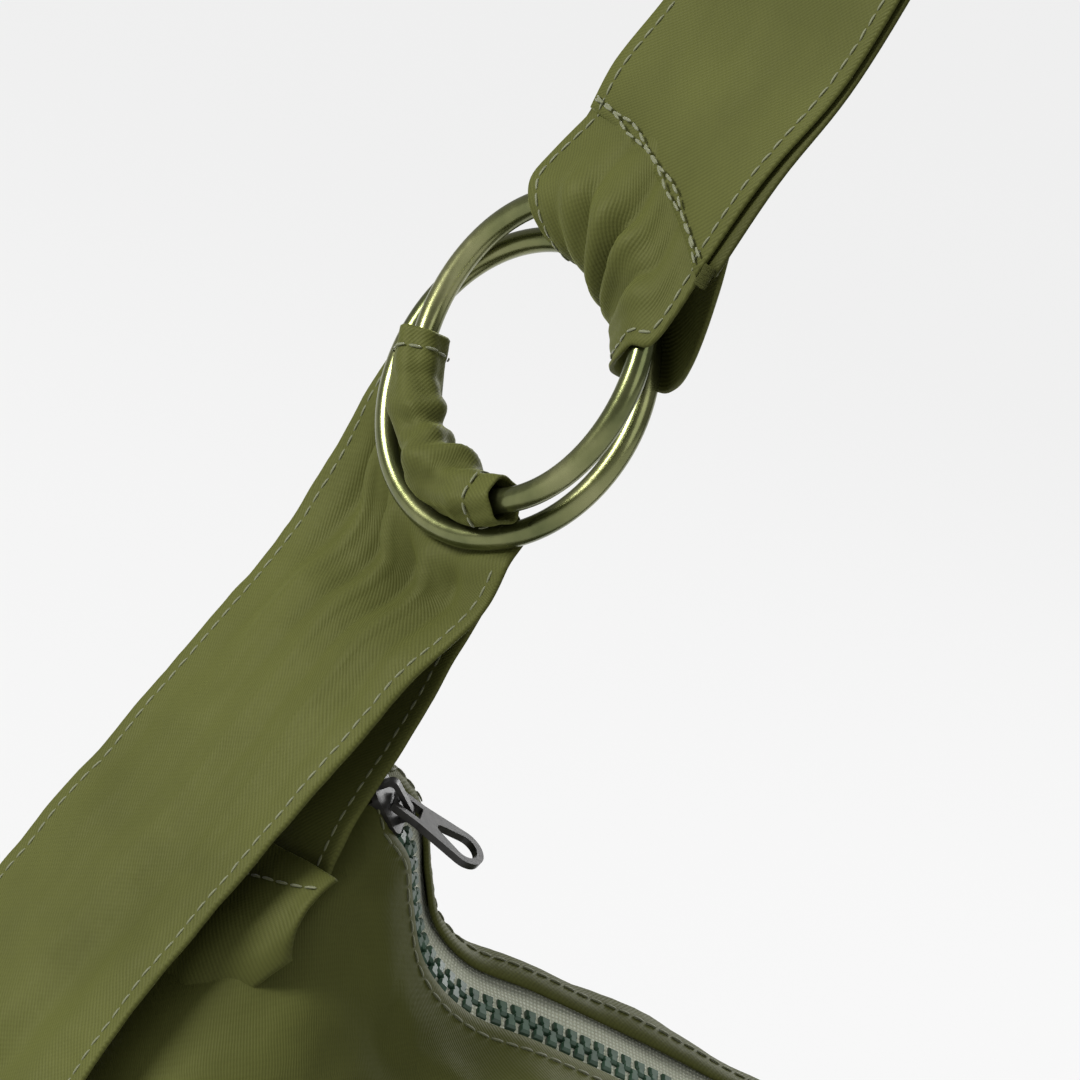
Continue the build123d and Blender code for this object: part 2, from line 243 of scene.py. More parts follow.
def along_line(points, spacing):
    """Points, directions and distances at even spacing along a line."""
    points = np.asarray(points)
    lengths = run_lengths(points)
    places = np.arange(spacing / 2, lengths[-1], spacing)
    line = at_lengths(places, lengths, points)
    direction = at_lengths(places + spacing / 3, lengths, points)
    direction = direction - at_lengths(places - spacing / 3, lengths, points)
    return line, direction / (np.linalg.norm(direction, axis=1, keepdims=True) + 1e-9), places


STITCH_PITCH = 2.9 * MM
STITCH_LENGTH = 2.35 * MM
STITCH_RADIUS = 0.22 * MM


def stitches(name, lines, material, seed=1):
    """Raised thread stitches along lines; each line is (points, outward normals)."""
    rng = np.random.default_rng(seed)
    vertices, faces, uvs = [], [], []
    rings = ((-0.5, 0.25), (-0.42, 0.75), (-0.2, 1.0), (0.2, 1.0), (0.42, 0.75), (0.5, 0.25))
    sides = 6
    for points, normals in lines:
        places, directions, along = along_line(points, STITCH_PITCH)
        ups = at_lengths(along, run_lengths(points), normals)
        for place, direction, up in zip(places, directions, ups):
            up = up - direction * up.dot(direction)
            up /= np.linalg.norm(up) + 1e-9
            side = np.cross(direction, up)
            direction = direction + side * rng.normal(0, 0.05)
            start = len(vertices)
            for t, r in rings:
                lift = 0.12 * MM + STITCH_RADIUS * (1 - 4 * t * t) * 0.55
                centre = place + direction * t * STITCH_LENGTH + up * lift
                for k in range(sides):
                    turn = 2 * pi * k / sides
                    offset = (side * cos(turn) * 1.15 + up * sin(turn) * 0.85) * STITCH_RADIUS * r
                    vertices.append(centre + offset)
                    uvs.append((k / sides, t))
            for i in range(len(rings) - 1):
                for k in range(sides):
                    a, b = start + i * sides + k, start + i * sides + (k + 1) % sides
                    faces.append((a, b, b + sides, a + sides))
            faces.append(tuple(start + k for k in reversed(range(sides))))
            faces.append(tuple(start + (len(rings) - 1) * sides + k for k in range(sides)))
    return add_piece(name, vertices, faces, uvs, material)


def inset_line(grid, side, inset, face=1, rows=slice(None)):
    """A line on a grid of cloth, a set distance in from its left (-1) or right (1) edge."""
    part = grid[rows]
    normals = grid_normals(grid)[rows]
    if side < 0:
        part, normals = part[:, ::-1], normals[:, ::-1]
    points, outs = [], []
    for row, ups in zip(part, normals):
        gaps = run_lengths(row[::-1])
        points.append(at_lengths(inset, gaps, row[::-1]))
        outs.append(at_lengths(inset, gaps, ups[::-1]))
    return np.array(points) + np.array(outs) * face * 0.35 * MM, np.array(outs) * face


# ---- materials ---------------------------------------------------------------------------
class Shader:
    """A material's nodes, with short ways to add and join them."""

    def __init__(self, name):
        self.material = bpy.data.materials.new(name)
        self.material.use_nodes = True
        self.nodes = self.material.node_tree.nodes
        self.links = self.material.node_tree.links
        self.bsdf = self.nodes["Principled BSDF"]

    def add(self, kind, inputs=None, **settings):
        node = self.nodes.new(kind)
        for key, value in settings.items():
            setattr(node, key, value)
        for key, value in (inputs or {}).items():
            socket = node.inputs[key]
            if isinstance(value, bpy.types.NodeSocket):
                self.links.new(value, socket)
            else:
                socket.default_value = value
        return node

    def turned(self, turn):
        """The cloth's own coordinates, in metres, turned by an angle."""
        source = self.add("ShaderNodeTexCoord").outputs["UV"]
        return self.add("ShaderNodeMapping", {"Vector": source, "Rotation": (0, 0, turn)}).outputs[0]

    def noise(self, scale, detail):
        source = self.add("ShaderNodeTexCoord").outputs["Object"]
        inputs = {"Vector": source, "Scale": scale, "Detail": detail, "Roughness": 0.55}
        return self.add("ShaderNodeTexNoise", inputs).outputs["Fac"]

    def ramp(self, value, stops):
        node = self.add("ShaderNodeValToRGB", {"Fac": value})
        ramp = node.color_ramp
        while len(ramp.elements) < len(stops):
            ramp.elements.new(0.5)
        for element, (position, colour) in zip(ramp.elements, stops):
            element.position = position
            element.color = (*colour, 1) if len(colour) == 3 else colour
        return node.outputs["Color"]

    def math(self, operation, a, b):
        return self.add("ShaderNodeMath", {0: a, 1: b}, operation=operation).outputs[0]

    def mix(self, factor, a, b, blend="MIX"):
        node = self.add("ShaderNodeMix", data_type="RGBA", blend_type=blend)
        for index, value in ((0, factor), (6, a), (7, b)):
            if isinstance(value, bpy.types.NodeSocket):
                self.links.new(value, node.inputs[index])
            else:
                node.inputs[index].default_value = value
        return node.outputs[2]

    def bump(self, height, distance, strength=1.0, onto=None):
        inputs = {"Height": height, "Distance": distance, "Strength": strength}
        if onto is not None:
            inputs["Normal"] = onto
        return self.add("ShaderNodeBump", inputs).outputs[0]

    def finish(self, **values):
        for key, value in values.items():
            socket = self.bsdf.inputs[key.replace("_", " ")]
            if isinstance(value, bpy.types.NodeSocket):
                self.links.new(value, socket)
            else:
                socket.default_value = value
        return self.material


def wave(shader, vector, scale, distortion=0.0):
    return shader.add(
        "ShaderNodeTexWave",
        {"Vector": vector, "Scale": scale, "Distortion": distortion, "Detail": 1.0},
        wave_type="BANDS", bands_direction="X", wave_profile="SIN",
    ).outputs["Fac"]


def bands(pitch):
    """The wave texture's scale for bands a pitch apart."""
    return 2 * pi / 20 / pitch


TWILL_PITCH = 0.62 * MM
TWILL_TURN = radians(38)
WALE_PITCH, RIB_PITCH = 0.9 * MM, 0.75 * MM
OLIVE = (0.053, 0.057, 0.0145)


def twill(name, colour=OLIVE, sheen=0.12):
    """Nylon twill: fine diagonal ribs, slubs, faint fading and a soft sheen."""
    shader = Shader(name)
    ribs = wave(shader, shader.turned(TWILL_TURN), bands(TWILL_PITCH), 0.15)
    cross = wave(shader, shader.turned(TWILL_TURN + pi / 2), bands(TWILL_PITCH) * 0.8, 0.2)
    slub = shader.noise(900.0, 2.0)
    patch = shader.noise(28.0, 4.0)
    weave = shader.math("ADD", shader.math("MULTIPLY", ribs, 0.75), shader.math("MULTIPLY", cross, 0.25))
    dark = tuple(c * 0.80 for c in colour)
    light = tuple(min(1, c * 1.16) for c in colour)
    base = shader.ramp(patch, ((0.30, dark), (0.52, colour), (0.75, light)))
    threads = shader.ramp(weave, ((0.15, (0.80, 0.80, 0.78)), (0.7, (1.0, 1.0, 1.0))))
    base = shader.mix(1.0, base, threads, "MULTIPLY")
    base = shader.mix(shader.math("MULTIPLY", slub, 0.22), base, (*light, 1))
    soft = shader.bump(shader.noise(110.0, 4.0), 0.0006, 0.45)
    fine = shader.bump(weave, 0.00009, 0.55, soft)
    rough = shader.math("ADD", shader.math("MULTIPLY", slub, 0.18), 0.50)
    return shader.finish(
        Base_Color=base, Normal=fine, Roughness=rough, Sheen_Weight=sheen, Sheen_Roughness=0.45,
        Sheen_Tint=(0.55, 0.60, 0.15, 1), Specular_IOR_Level=0.16,
        Specular_Tint=(0.85, 0.85, 0.45, 1),
    )


def thread():
    shader = Shader("topstitch_thread")
    twist = wave(shader, shader.turned(radians(50)), 3.0)
    colour = shader.ramp(twist, ((0.2, (0.050, 0.055, 0.018)), (0.8, (0.105, 0.112, 0.044))))
    fuzz = shader.bump(shader.noise(2500.0, 2.0), 0.0001, 0.5)
    return shader.finish(Base_Color=colour, Normal=fuzz, Roughness=0.6, Sheen_Weight=0.3)


def ring_metal():
    """Olive-tinted antique brass: satin, patchy, with darker drifts and fine rub marks."""
    shader = Shader("antique_brass")
    patch = shader.noise(60.0, 5.0)
    fine = shader.noise(700.0, 3.0)
    tones = ((0.30, (0.075, 0.090, 0.030)), (0.52, (0.165, 0.176, 0.070)), (0.78, (0.27, 0.27, 0.13)))
    colour = shader.ramp(patch, tones)
    rough = shader.math("ADD", shader.math("MULTIPLY", patch, 0.16), shader.math("MULTIPLY", fine, 0.10))
    normal = shader.bump(fine, 0.00004, 0.35)
    return shader.finish(
        Base_Color=colour, Metallic=0.92, Roughness=shader.math("ADD", rough, 0.12), Normal=normal,
        Coat_Weight=0.25, Coat_Roughness=0.15,
    )


def zip_tape_cloth():
    """Knitted polyester tape: fine lengthwise wales and cross ribs."""
    shader = Shader("knitted_tape")
    wales = wave(shader, shader.turned(0.0), bands(WALE_PITCH))
    ribs = wave(shader, shader.turned(pi / 2), bands(RIB_PITCH))
    knit = shader.math("MULTIPLY", wales, ribs)
    colour = shader.ramp(knit, ((0.05, (0.34, 0.355, 0.27)), (0.6, (0.58, 0.60, 0.50))))
    grime = shader.mix(shader.math("MULTIPLY", shader.noise(90.0, 4.0), 0.3), colour, (0.28, 0.30, 0.18, 1))
    return shader.finish(
        Base_Color=grime, Normal=shader.bump(knit, 0.0002, 0.8), Roughness=0.75, Sheen_Weight=0.2
    )


def tooth_plastic():
    shader = Shader("moulded_teeth")
    patch = shader.noise(300.0, 3.0)
    colour = shader.ramp(patch, ((0.3, (0.022, 0.052, 0.030)), (0.7, (0.042, 0.088, 0.054))))
    return shader.finish(
        Base_Color=colour, Roughness=0.38, Normal=shader.bump(shader.noise(1500.0, 2.0), 0.00005, 0.3),
        Coat_Weight=0.05, Coat_Roughness=0.2, Specular_IOR_Level=0.3,
    )


def gunmetal():
    """Black enamelled slider metal, a little browner in random patches."""
    shader = Shader("black_enamel")
    patch = shader.noise(260.0, 4.0)
    colour = shader.ramp(patch, ((0.35, (0.010, 0.010, 0.009)), (0.75, (0.030, 0.028, 0.024))))
    return shader.finish(
        Base_Color=colour, Metallic=0.1, Roughness=0.34,
        Normal=shader.bump(shader.noise(900.0, 3.0), 0.00005, 0.4),
        Coat_Weight=0.12, Coat_Roughness=0.12, Specular_IOR_Level=0.35,
    )


TWILL = twill("olive_twill")
# Twill darkened to 0.62 of its colour: painted shade for the strap's inner layer, which lies in shadow. The
# seam-end knot is drawn in it too.
TWILL_PAINTED_SHADE = twill("olive_twill_painted_shade", tuple(c * 0.62 for c in OLIVE), 0.06)
TWILL_BODY = twill("olive_twill_body", tuple(c * 0.98 for c in OLIVE), 0.06)
LINING = twill("pale_lining", tuple(c * 1.7 for c in OLIVE), 0.05)
THREAD = thread()
BRASS = ring_metal()
TAPE = zip_tape_cloth()
TEETH = tooth_plastic()
BLACK = gunmetal()

# One layer of the strap's cloth.
LAYER = 0.9 * MM


# ---- upper strap -------------------------------------------------------------------------
STRAP_DRIFT = 6.5
SEAM_HEIGHT, SEAM_SKEW, SEAM_BOW = 37.2, -6.2, -3.4
SEAM_MIDDLE, SEAM_HALF = 6, 22.4


def seam_up(u):
    """How far up the strap the loop's seam lies, for a place across it from -1 to 1."""
    return SEAM_HEIGHT + SEAM_SKEW * u + SEAM_BOW * u * u


def seam_side(u):
    """How far across from the ring's centre that place on the seam is."""
    return SEAM_MIDDLE + SEAM_HALF * u


def strap_stations(shift, side_offset=0.0):
    """Points down the middle of the strap and its direction across, from the seam to the right end."""
    stations = [(by_ring(30, 6.0 + side_offset, 1.0 + shift * 0.6), RING_SIDE)]
    stations.append((by_ring(48, 6.4 + side_offset, 0.6 + shift), RING_SIDE))
    start = vec([-APEX_RADIUS * sin(LEG_ANGLE), 0, APEX_RADIUS * cos(LEG_ANGLE) - APEX_RADIUS + 0.9 * MM])
    for drop, twist, drift in ((150, 24, 1), (112, 18, 0.75), (75, 11, 0.5), (38, 4.5, 0.2), (8, 0.5, 0)):
        turn = radians(twist)
        across = vec([sin(turn) * sin(LEG_ANGLE), -cos(turn), -sin(turn) * cos(LEG_ANGLE)])
        out = np.cross(across, LEG_UP)
        point = start - LEG_UP * drop * MM + across * drift * STRAP_DRIFT * MM + out * shift * MM
        stations.append((point, across))
    front = vec([0, -1, 0])
    for angle in range(-60, 61, 20):
        turn = radians(angle)
        radius = APEX_RADIUS + shift * MM
        stations.append((vec([radius * sin(turn), 0, radius * cos(turn) - APEX_RADIUS + 0.9 * MM]), front))
    down = vec([cos(LEG_ANGLE), 0, -sin(LEG_ANGLE)])
    out = vec([sin(LEG_ANGLE), 0, cos(LEG_ANGLE)])
    top = vec([-start[0], 0, start[2]])
    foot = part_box("strap_base_right")[1].z
    length = (top[2] - foot) / sin(LEG_ANGLE) + 3 * MM
    for share in (0.03, 0.25, 0.5, 0.75, 1.0):
        stations.append((top + down * length * share + out * shift * MM, front))
    return stations


def strap_grid(shift, half, rows=170, columns=29, side_offset=0.0):
    stations = strap_stations(shift, side_offset)
    middle = catmull([point for point, _ in stations], rows)
    across = catmull([side * 0.1 for _, side in stations], rows)
    grid = np.zeros((rows, columns, 3))
    for i in range(rows):
        run = unit(middle[min(i + 1, rows - 1)] - middle[max(i - 1, 0)])
        side = unit(across[i] - run * across[i].dot(run))
        for j, u in enumerate(np.linspace(-1, 1, columns)):
            grid[i, j] = middle[i] + side * u * half
    return grid


def upper_strap():
    outer = strap_grid(0.55, 23.6 * MM)
    inner = strap_grid(-0.75, 24.4 * MM, side_offset=1.0)
    for index, u in enumerate(np.linspace(-1, 1, outer.shape[1])):
        first = by_ring(seam_up(u), seam_side(u), 1.5)
        for row in range(8):
            blend = 1 - row / 8
            outer[row, index] = outer[row, index] * (1 - blend) + (first + RING_UP * row * 2.0 * MM) * blend
    ripple = crumple(outer, 0.055, 0.6 * MM, 3)
    u = np.linspace(-1, 1, outer.shape[1])[None, :]
    edge = 1 - u**8
    outer = swell(outer, -(ripple * edge + 0.5 * MM * (1 - u**2)))
    inner = swell(inner, -crumple(inner, 0.06, 0.5 * MM, 9) * edge)
    front = cloth("upper_strap_outer_layer", outer, LAYER, TWILL)
    # The inner layer takes the darkened twill, whose colour is painted shade.
    back = cloth("upper_strap_inner_layer", inner, LAYER, TWILL_PAINTED_SHADE)
    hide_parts("strap_outer_layer")
    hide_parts("strap_inner_layer")
    lines = [inset_line(outer, side, 2.3 * MM, 1) for side in (-1, 1)]
    lines += [inset_line(inner, side, 3.1 * MM, -1) for side in (-1, 1)]
    sewn = stitches("upper_strap_stitching", lines, THREAD, 5)
    for piece in (front, back, sewn):
        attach(piece, "bag")


# ---- loop round both rings ---------------------------------------------------------------
def loop_grid(rows=72, columns=61):
    grid = np.zeros((rows, columns, 3))
    for j, u in enumerate(np.linspace(-1, 1, columns)):
        s = (u + 1) / 2
        over = -37 + 101 * s
        inside = -35 + 107 * s
        radius, height = back_wire(inside)
        seam = (seam_up(u), seam_side(u))
        line = [
            by_ring(seam[0] + 5, seam[1], 0.4),
            by_ring(seam[0], seam[1], 0.8),
            round_ring(over, 31.5, 2.7),
            round_ring(over, 27.6, 3.5),
            round_ring(over + (inside - over) * 0.5, 23.4, 2.1),
            round_ring(inside, (radius + 20) / 2 - 1.5, -2.6),
            round_ring(inside, radius - 3.3, height + 1.0),
            round_ring(inside, radius - 1.6, height - 2.8),
            round_ring(inside, radius + 2.0, height - 3.3),
            round_ring(over, 30.5, -8.5),
            by_ring(seam[0] - 1, seam[1] + 1.0, -3.6),
            by_ring(seam[0] + 5, seam[1] + 1.0, -1.5),
        ]
        grid[:, j] = catmull(line, rows)
    return grid


def bell(value, centre, width):
    return np.exp(-(((value - centre) / width) ** 2))


def loop():
    grid = loop_grid()
    rows, columns = grid.shape[:2]
    v = np.linspace(0, 1, rows)[:, None]
    u = np.linspace(-1, 1, columns)[None, :]
    reach = bell(v, 0.33, 0.20)
    lean = 0.35 * (v - 0.3)
    pleat = 2.3 * bell(u, -0.10 + lean, 0.13) - 1.7 * bell(u, 0.10 + lean, 0.075)
    pleat += 1.5 * bell(u, 0.25 + lean, 0.09)
    pleat += 0.9 * bell(u, -0.52 + lean * 0.6, 0.12) - 0.8 * bell(u, -0.33 + lean * 0.6, 0.06)
    pleat += 0.9 * bell(u, 0.66 - lean * 0.4, 0.10) - 0.8 * bell(u, 0.50, 0.05)
    fine = 0.35 * np.sin(u * 23 + v * 5) * bell(v, 0.42, 0.16)
    grid = swell(grid, -(1.35 * pleat * reach + fine) * MM)
    grid = swell(grid, -crumple(grid, 0.020, 0.7 * MM, 12, 2) * (0.25 + bell(v, 0.35, 0.3)))
    piece = cloth("strap_loop_cloth", grid, LAYER, TWILL)
    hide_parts("strap_loop")
    face = slice(4, int(rows * 0.5))
    lines = [inset_line(grid, side, 2.2 * MM, -1, face) for side in (-1, 1)]
    normals = -grid_normals(grid)
    for row, offset in ((0, 0.0), (3, 0.6)):
        wobble = 0.5 * MM * np.sin(np.linspace(0, 17, columns) + row)
        shares = np.linspace(-0.98, 0.99, columns)
        seam = [by_ring(seam_up(t) + 1.4 + offset * 1.2, seam_side(t), 2.35) for t in shares]
        lines.append((np.array(seam) + RING_UP * wobble[:, None], normals[5] * 0.4 + RING_OUT * 0.6))
    sewn = stitches("strap_loop_stitching", lines, THREAD, 8)
    for item in (piece, sewn):
        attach(item, "bag")


def bartack():
    """Knot of thread at the seam's end, drawn in the darkened twill copy, whose darkness is painted shade."""
    low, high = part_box("loop_bartack")
    middle = by_ring(28.3, 30.4, 1.6)
    size = vec(high - low) / 2
    rng = np.random.default_rng(4)
    vertices, faces, uvs = [], [], []
    for strand in range(9):
        start = middle + RING_UP * (strand - 4) * 0.42 * MM
        path = [start + RING_SIDE * t * size[0] * 0.55 + RING_OUT * (0.9 - t * t) * 0.8 * MM
                for t in (-1, -0.5, 0, 0.5, 1)]
        base = len(vertices)
        for k, point in enumerate(catmull(path, 9)):
            for n in range(6):
                turn = pi * n / 3
                offset = (RING_UP * cos(turn) + RING_OUT * sin(turn)) * 0.3 * MM
                vertices.append(point + offset + rng.normal(0, 0.04, 3) * MM)
                uvs.append((n / 6, k / 9))
        for k in range(8):
            for n in range(6):
                a, b = base + k * 6 + n, base + k * 6 + (n + 1) % 6
                faces.append((a, b, b + 6, a + 6))
        faces.append(tuple(base + n for n in reversed(range(6))))
        faces.append(tuple(base + 48 + n for n in range(6)))
    piece = add_piece("seam_end_knot", vertices, faces, uvs, TWILL_PAINTED_SHADE)
    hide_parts("loop_bartack")
    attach(piece, "bag")


# ---- wrap round the front ring -----------------------------------------------------------
def ring_wrap(rows=110, columns=44):
    first, last = 149.0, 250.0
    grid = np.zeros((rows, columns, 3))
    for i, s in enumerate(np.linspace(0, 1, rows)):
        angle = first + (last - first) * s
        gather = 0.55 + 0.25 * sin(s * 9)
        for j in range(columns):
            turn = 2 * pi * j / columns
            fold = 2.6 * bell(s, 0.34 + 0.06 * sin(turn), 0.06)
            fold += 1.6 * bell(s, 0.49 - 0.05 * sin(turn + 1), 0.05)
            fold += 1.0 * bell(s, 0.71 + 0.04 * sin(turn + 2), 0.045) + 0.6 * bell(s, 0.17, 0.04)
            fold -= 0.35 * bell(s, 0.385, 0.03) + 0.3 * bell(s, 0.58, 0.04) + 0.25 * bell(s, 0.82, 0.03)
            hole_side = 0.5 + 0.5 * cos(turn - pi * 0.95)
            radius = 3.25 + gather + fold * (0.35 + 0.75 * hole_side) + 0.25 * sin(5 * turn + 14 * s)
            radius = max(radius, WIRE_RADIUS / MM + 0.7)
            grid[i, j] = round_ring(angle, RING_RADIUS / MM + radius * cos(turn), radius * sin(turn))
    creases = crumple(grid, 0.009, 0.45 * MM, 21)
    grid = swell(grid, np.abs(creases), True)
    piece = cloth("ring_wrap_cloth", grid, 0.7 * MM, TWILL, closed=True)
    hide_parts("ring_wrap")
    lines = []
    normals = grid_normals(grid, True)
    for row in (11, rows - 9):
        ring = np.concatenate([grid[row], grid[row][:1]])
        ups = np.concatenate([normals[row], normals[row][:1]])
        lines.append((ring + ups * 0.45 * MM, ups))
    sewn = stitches("ring_wrap_stitching", lines, THREAD, 31)
    for item in (piece, sewn):
        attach(item, "bag")


# ---- lower strap and tail ----------------------------------------------------------------
# Where the lower strap meets the bag's left shoulder, and how far it is turned there.
FOOT = vec([-138.5, 3.0, -330.0]) * MM
FOOT_TURN = radians(30)
FOOT_ACROSS = vec([sin(FOOT_TURN), -cos(FOOT_TURN), 0])


def fan(stations, rows, columns):
    """A grid through stations, each a list of points across that the row follows."""
    lines = [catmull(station, columns) for station in stations]
    grid = np.zeros((rows, columns, 3))
    for j in range(columns):
        grid[:, j] = catmull([line[j] for line in lines], rows)
    return grid


def flat_row(middle, across, half, bow=0.0):
    """Points across a strap; bow lifts its middle along its face, in mm."""
    face = unit(np.cross(across, vec([0.25, 0, 0.97])))
    return [middle + across * half * u * MM + face * bow * (1 - u * u) * MM for u in (-1, -0.5, 0, 0.5, 1)]


def gap_between_rings(angle):
    """How far out, in mm, cloth runs between the two rings at an angle round the front one."""
    return min(30.0, back_wire(angle)[0] - 3.3)


def lower_strap():
    stations = [
        flat_row(FOOT + vec([-0.7, 1.9, -3.5]) * MM, FOOT_ACROSS, 24.0),
        flat_row(FOOT + vec([2.2, 2.0, 8.0]) * MM, unit(FOOT_ACROSS + RING_SIDE * 0.4), 24.2, 0.6),
        flat_row(by_ring(-70, -9.4, -8.0), RING_SIDE, 24.5, 0.8),
        flat_row(by_ring(-50, -12.4, -12.6), RING_SIDE, 22.0),
    ]
    angles = (242, 222, 204, 186, 168)
    wire = [back_wire(angle)[1] for angle in angles]
    inside = [gap_between_rings(angle) - 1.5 for angle in angles]
    stations += [
        [round_ring(angle, 39.0, min(-12.6, low - 7.5)) for angle, low in zip(angles, wire)],
        [round_ring(angle, 33.5, min(-10.5, low - 5.8)) for angle, low in zip(angles, wire)],
        [round_ring(angle, rho + 0.8, min(-7.4, low - 2.8)) for angle, low, rho in zip(angles, wire, inside)],
        [round_ring(angle, rho, -3.8) for angle, rho in zip(angles, inside)],
    ]
    grid = fan(stations, 70, 31)
    grid = swell(grid, crumple(grid, 0.022, 0.7 * MM, 17))
    piece = cloth("lower_strap_cloth", grid, LAYER * 1.3, TWILL_BODY)
    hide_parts("lower_strap")
    rows = slice(0, 44)
    lines = [inset_line(grid, side, 2.4 * MM, face, rows) for side in (-1, 1) for face in (-1, 1)]
    sewn = stitches("lower_strap_stitching", lines, THREAD, 41)
    for item in (piece, sewn):
        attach(item, "bag")


def tail_stations():
    angles = (250, 227, 203, 180, 156)
    between, under, beyond = [], [], []
    for angle in angles:
        radius, height = back_wire(angle)
        between.append(round_ring(angle, gap_between_rings(angle) + 0.2, (height - 5.9) / 2 - 0.8))
        under.append(round_ring(angle, radius, height - 3.0))
        beyond.append(round_ring(angle, radius + 4.5, height * 0.55 - 4.2))
    rows = [
        [round_ring(angle, gap_between_rings(angle), -2.9) for angle in angles],
        between,
        under,
        beyond,
        [by_ring(*place) for place in
         ((-40, -37, -5.5), (-44.5, -24, -6.8), (-46.5, -11.5, -7.6), (-45.5, 2, -8.2), (-42, 14.8, -8.4))],
        flat_row(by_ring(-58, -10.2, -2.4), RING_SIDE, 24.8, 1.4),
        flat_row(by_ring(-72, -7.6, 3.5), RING_SIDE, 24.8, 1.5),
        flat_row(by_ring(-97, -6.2, 10.5), RING_SIDE, 24.4, 1.2),
        flat_row(by_ring(-121.5, -6.0, 16.4), RING_SIDE, 24.6, 1.0),
    ]
    low = (
        ((-173.0, -1.0, -375.0), 20), ((-182.0, -2.0, -402.0), 16), ((-187.0, -3.0, -432.0), 12),
        ((-188.0, -3.5, -462.0), 8), ((-186.0, -4.0, -494.0), 8), ((-185.4, -4.0, -507.5), 8),
    )
    for point, twist in low:
        turn = radians(twist)
        across = vec([sin(turn) * sin(LEG_ANGLE), -cos(turn), -sin(turn) * cos(LEG_ANGLE)])
        rows.append(flat_row(vec(point) * MM, across, 25.0, 0.8))
    return rows


def tail():
    grid = fan(tail_stations(), 190, 57)
    rows, columns = grid.shape[:2]
    v = np.linspace(0, 1, rows)[:, None]
    u = np.linspace(-1, 1, columns)[None, :]
    near = np.clip((v - 0.085) / 0.05, 0, 1) * np.exp(-np.clip(v - 0.135, 0, 1) / 0.13)
    spread = 1 + 1.1 * np.clip(v - 0.10, 0, 0.5)
    pleats = 2.2 * bell(u, -0.58 * spread, 0.10) - 2.0 * bell(u, -0.40 * spread, 0.06)
    pleats += 2.3 * bell(u, -0.17 * spread, 0.08) - 2.4 * bell(u, 0.02, 0.05)
    pleats += 2.2 * bell(u, 0.20 * spread, 0.07) - 2.2 * bell(u, 0.40 * spread, 0.05)
    pleats += 1.9 * bell(u, 0.60 * spread, 0.08)
    hold = 1 - u**10 * 0.7
    soft = crumple(grid, 0.038, 1.7 * MM, 27) * (0.25 + 0.75 * np.clip(v * 5, 0, 1)) * (1 - u**6 * 0.75)
    fine = crumple(grid, 0.014, 0.45 * MM, 29)
    long_fold = 1.5 * MM * bell(u, 0.15 + 0.35 * np.sin(v * 5), 0.22) * bell(v, 0.55, 0.25)
    grid = swell(grid, pleats * near * hold * MM + soft + fine + long_fold)
    piece = cloth("strap_tail_cloth", grid, LAYER * 1.2, TWILL)
    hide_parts("tail_root", "strap_tail", "tail_hem")
    edge = slice(22, rows - 2)
    lines = [inset_line(grid, side, 2.3 * MM, face, edge) for side in (-1, 1) for face in (-1, 1)]
    normals = grid_normals(grid)
    hem, ups = grid[rows - 14, 2:-2], normals[rows - 14, 2:-2]
    lines += [(hem + ups * face * 0.6 * MM, ups * face) for face in (-1, 1)]
    sewn = stitches("strap_tail_stitching", lines, THREAD, 51)
    for item in (piece, sewn):
        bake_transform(item)


# ---- zip ---------------------------------------------------------------------------------
ZIP_TILT = radians(28)
# Left half of the zip's line (x, z) in mm, as seen in the photograph: it sags below the CAD's arc.
ZIP_HALF = (
    (-117.5, -318.8), (-114.2, -321.6), (-107.5, -327.5), (-104.2, -336.0), (-99.5, -345.8),
    (-90.5, -352.6), (-76.0, -356.0), (-52.0, -362.4), (-26.0, -370.0),
)


def zip_line(count=200):
    left = [(x, 0.0, z) for x, z in ZIP_HALF]
    points = left + [(0.0, 0.0, -373.0)] + [(-x, y, z) for x, y, z in reversed(left)]
    return catmull(vec(points) * MM, count)


def zip_frames(line):
    """At each point of the zip: the direction along it, across it to the back, and off its face."""
    along = np.gradient(line, axis=0)
    along /= np.linalg.norm(along, axis=1, keepdims=True)
    inward = np.stack([-along[:, 2], np.zeros(len(line)), along[:, 0]], 1)
    back = vec([0, 1, 0]) * cos(ZIP_TILT) + inward * sin(ZIP_TILT)
    face = inward * cos(ZIP_TILT) - vec([0, 1, 0]) * sin(ZIP_TILT)
    return along, back, face


def tapes():
    line = zip_line(260)
    _, back, face = zip_frames(line)
    ends = np.linspace(0, 1, len(line))
    taper = np.clip(np.minimum(ends, 1 - ends) / 0.05, 0.35, 1)
    for name, near, far, columns in (("front", -0.6, -10.5, 12), ("back", 0.6, 12.0, 14)):
        grid = np.zeros((len(line), columns, 3))
        for j, share in enumerate(np.linspace(0, 1, columns)):
            b = (near + (far - near) * share) * taper
            lift = -1.6 - 0.5 * share + 0.25 * np.sin(ends * 60 + share * 3)
            grid[:, j] = line + back * b[:, None] * MM + face * lift[:, None] * MM
        piece = cloth(f"zip_tape_{name}_knit", grid, 0.55 * MM, TAPE)
        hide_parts(f"zip_tape_{name}")
        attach(piece, "bag")


def tooth_shape(length, width, height):
    """One moulded tooth: a broad foot on the tape and a narrower, rounded head."""
    right = [(0.5, -0.50), (0.5, -0.05), (0.30, 0.12), (0.42, 0.32), (0.34, 0.5)]
    outline = right + [(-x, y) for x, y in reversed(right)]
    levels = ((-0.5, 0.82), (-0.38, 1.0), (0.30, 1.0), (0.5, 0.72))
    vertices = [(x * length * s, (y * s) * width, z * height) for z, s in levels for x, y in outline]
    n = len(outline)
    faces = [(i * n + k, i * n + (k + 1) % n, (i + 1) * n + (k + 1) % n, (i + 1) * n + k)
             for i in range(len(levels) - 1) for k in range(n)]
    faces.append(tuple(reversed(range(n))))
    faces.append(tuple((len(levels) - 1) * n + k for k in range(n)))
    return np.array(vertices), faces


TOOTH_PITCH = 2.9 * MM


